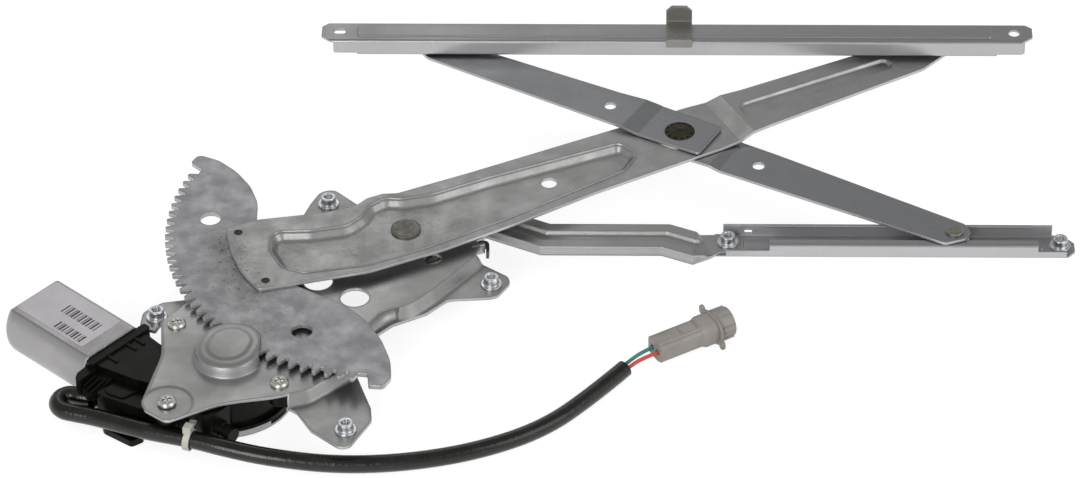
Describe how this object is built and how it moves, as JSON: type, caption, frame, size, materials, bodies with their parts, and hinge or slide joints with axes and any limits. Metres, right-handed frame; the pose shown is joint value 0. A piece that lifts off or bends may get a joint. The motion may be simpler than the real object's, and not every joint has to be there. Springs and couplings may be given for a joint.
{
  "type": "power window regulator",
  "caption": "Scissor type power window regulator: geared lift arm, cross arm, glass channel, equalizer rail, pressed base plate, worm gear motor and short cable.",
  "frame": {"origin": "on the main pivot axis, in the plane where the low ears of the base plate and the rail bolt to the door", "axes": "+X along the rail and the glass channel, away from the gear; +Y from the rail to the glass channel; +Z out of the door panel, along every pivot"},
  "size_m": [0.6584, 0.3934, 0.0709],
  "materials": {
    "pressed_zinc": "satin, zinc plated",
    "bright_zinc": "bright zinc",
    "spring_steel": "oiled",
    "channel_zinc": "satin, zinc plated",
    "black_plastic": "moulded",
    "lid_steel": "bright",
    "can_steel": "bright",
    "ferrite": "matt",
    "brown_plastic": "moulded",
    "sintered_bronze": "oiled",
    "cable_black": "matt",
    "wire_green": "satin",
    "wire_red": "satin",
    "tie_white": "satin",
    "connector_grey": "satin",
    "terminal_brass": "bright",
    "arm_zinc": "satin, zinc plated",
    "gear_steel": "greased",
    "rivet_steel": "satin",
    "hub_olive": "dark",
    "washer_nylon": "natural",
    "roller_nylon": "natural",
    "clip_zinc": "satin",
    "wheel_nylon": "natural",
    "damper_rubber": "matt",
    "shaft_steel": "ground",
    "core_steel": "laminated",
    "copper_wire": "enamelled",
    "copper_bar": "bright"
  },
  "bodies": {
    "base": {"base_plate": "pressed_zinc", "base_weld_nuts": "bright_zinc", "pivot_bush": "bright_zinc", "assist_spring": "spring_steel", "support_bar": "pressed_zinc", "equalizer_rail": "channel_zinc", "rail_weld_nuts": "bright_zinc", "gearbox_housing": "black_plastic", "gearbox_lid": "lid_steel", "gearbox_screws": "bright_zinc", "motor_can": "can_steel", "motor_magnets": "ferrite", "brush_plate": "brown_plastic", "motor_bearings": "sintered_bronze", "cable_grommet": "cable_black", "cable_sleeve": "cable_black", "cable_wire_green": "wire_green", "cable_wire_red": "wire_red", "cable_tie": "tie_white", "connector_shell": "connector_grey", "connector_cap": "connector_grey", "connector_terminals": "terminal_brass"},
    "lift": {"lift_arm": "arm_zinc", "sector_gear": "gear_steel", "pivot_pin": "bright_zinc", "lift_stud": "rivet_steel"},
    "cross": {"cross_arm_upper": "arm_zinc", "cross_arm_lower": "arm_zinc", "centre_hub": "hub_olive", "hub_washers": "washer_nylon", "upper_stud": "rivet_steel", "rail_stud": "rivet_steel"},
    "lift_roller": {"lift_roller": "roller_nylon"},
    "upper_roller": {"upper_roller": "roller_nylon"},
    "rail_roller": {"rail_roller": "roller_nylon"},
    "channel": {"glass_channel": "channel_zinc", "channel_clip": "clip_zinc"},
    "output": {"pinion_shaft": "gear_steel", "worm_wheel": "wheel_nylon", "drive_damper": "damper_rubber"},
    "armature": {"armature_shaft": "shaft_steel", "armature_core": "core_steel", "armature_winding": "copper_wire", "commutator": "copper_bar"}
  },
  "joints": [
    {"name": "lift", "type": "hinge", "parent": "base", "child": "lift", "pos_m": [0, 0, 0.012], "axis": [0, 0, 1], "range_deg": [-24, 26], "deforming": ["assist_spring"]},
    {"name": "cross", "type": "hinge", "parent": "lift", "child": "cross", "pos_m": [0.17055, 0.09454, 0.016], "axis": [0, 0, 1], "range_deg": [-52, 48]},
    {"name": "upper_roller_turn", "type": "hinge", "parent": "cross", "child": "upper_roller", "pos_m": [0.01224, 0.18229, 0.028], "axis": [0, 0, 1], "range_deg": [-24, 26]},
    {"name": "channel_slide", "type": "slide", "parent": "upper_roller", "child": "channel", "axis": [1, 0, 0], "range_m": [-0.008, 0.04]},
    {"name": "lift_roller_turn", "type": "hinge", "parent": "lift", "child": "lift_roller", "pos_m": [0.32886, 0.18229, 0.028], "axis": [0, 0, 1], "continuous": true},
    {"name": "rail_roller_turn", "type": "hinge", "parent": "cross", "child": "rail_roller", "pos_m": [0.3411, 0, 0.005], "axis": [0, 0, 1], "continuous": true},
    {"name": "pinion_turn", "type": "hinge", "parent": "base", "child": "output", "pos_m": [-0.10373, -0.12146, 0], "axis": [0, 0, 1], "range_deg": [-341, 315]},
    {"name": "armature_turn", "type": "hinge", "parent": "base", "child": "armature", "pos_m": [-0.12718, -0.14824, -0.007], "axis": [-0.7524, 0.6587, 0], "range_deg": [-18881, 20454]}
  ],
  "couplings": [
    {"joint": "cross", "follows": "lift", "ratio": -2},
    {"joint": "upper_roller_turn", "follows": "lift", "ratio": 1},
    {"joint": "pinion_turn", "follows": "lift", "ratio": -13.111},
    {"joint": "armature_turn", "follows": "lift", "ratio": 786.67}
  ]
}
